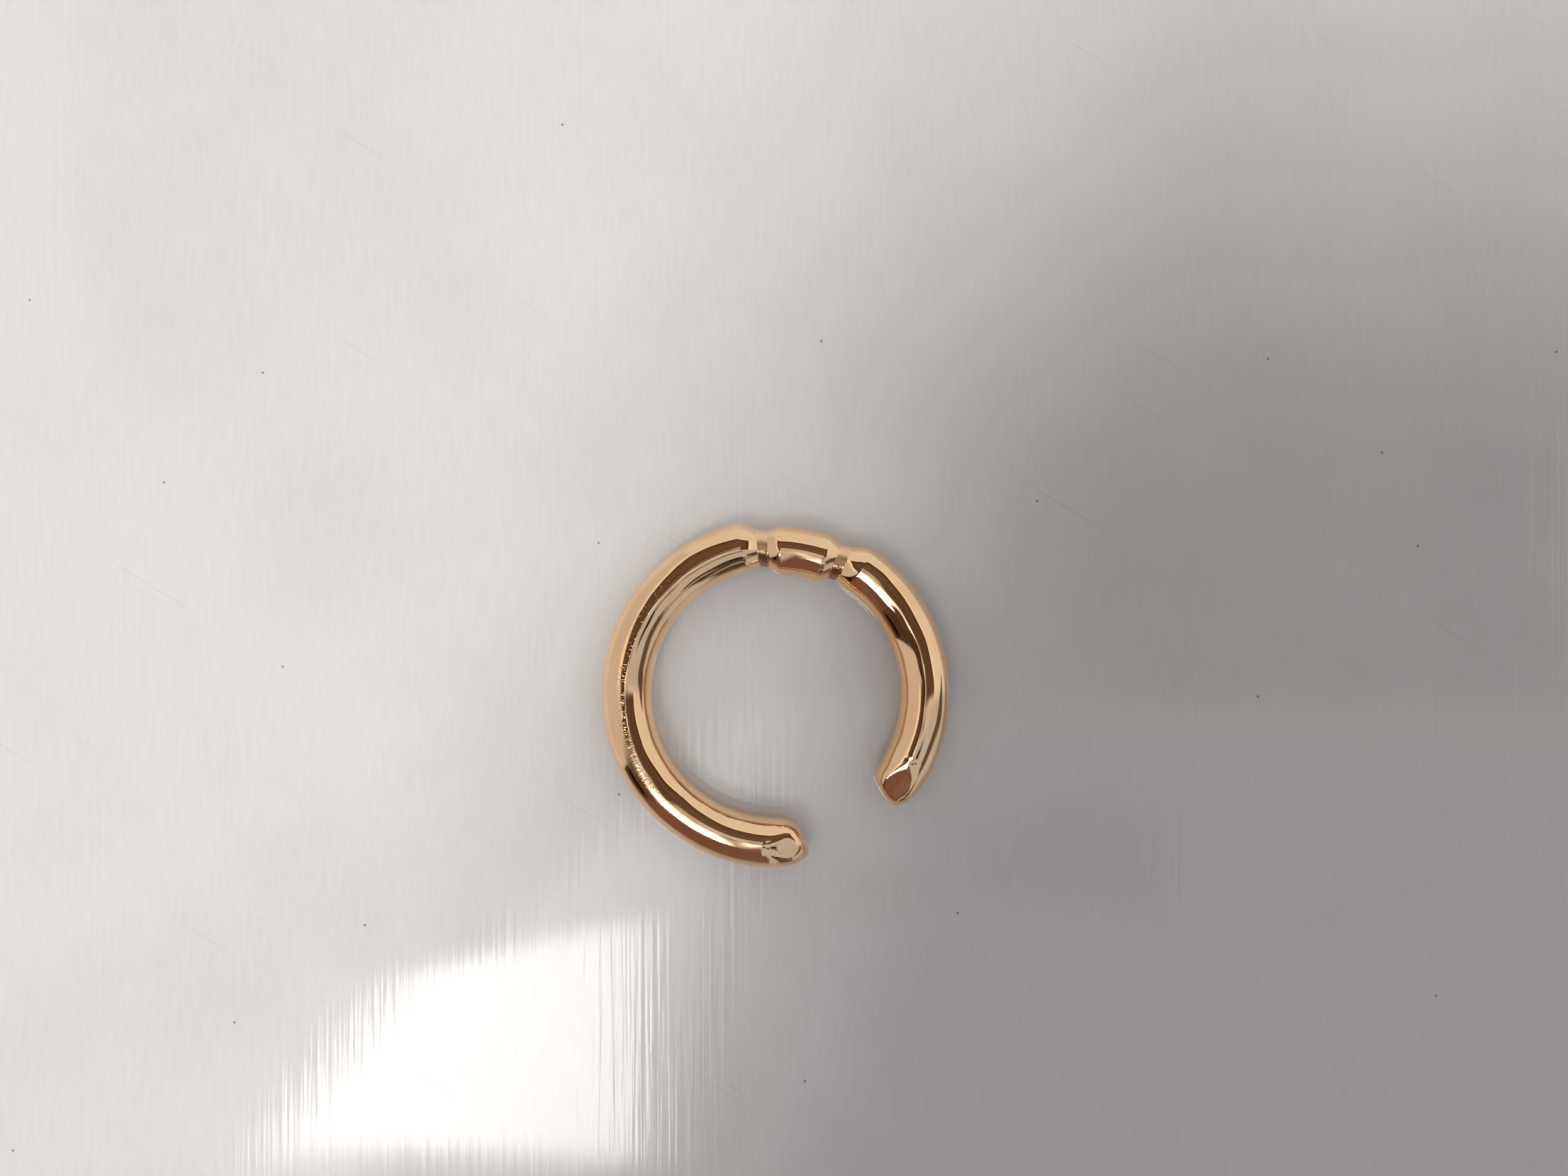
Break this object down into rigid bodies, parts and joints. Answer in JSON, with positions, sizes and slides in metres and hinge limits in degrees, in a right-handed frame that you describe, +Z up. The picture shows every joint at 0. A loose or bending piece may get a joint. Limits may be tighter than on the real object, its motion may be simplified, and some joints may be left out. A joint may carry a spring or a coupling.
{
  "type": "ear cuff",
  "caption": "Open ring-shaped ear cuff of round polished bar, with two grooves that set off a short middle barrel and a mouth between two domed ends.",
  "frame": {"origin": "middle of the open ring, on the surface that the cuff lies on", "axes": "+Z up out of that surface, -Y through the middle of the mouth, +X across the ring with the short arm and the middle barrel on the +X side"},
  "size_m": [0.016, 0.0153, 0.0023],
  "materials": {
    "polished_gold": "mirror-polished rose-tinted gold plating over brass"
  },
  "bodies": {
    "root": {"cuff_body": "polished_gold"}
  },
  "joints": []
}
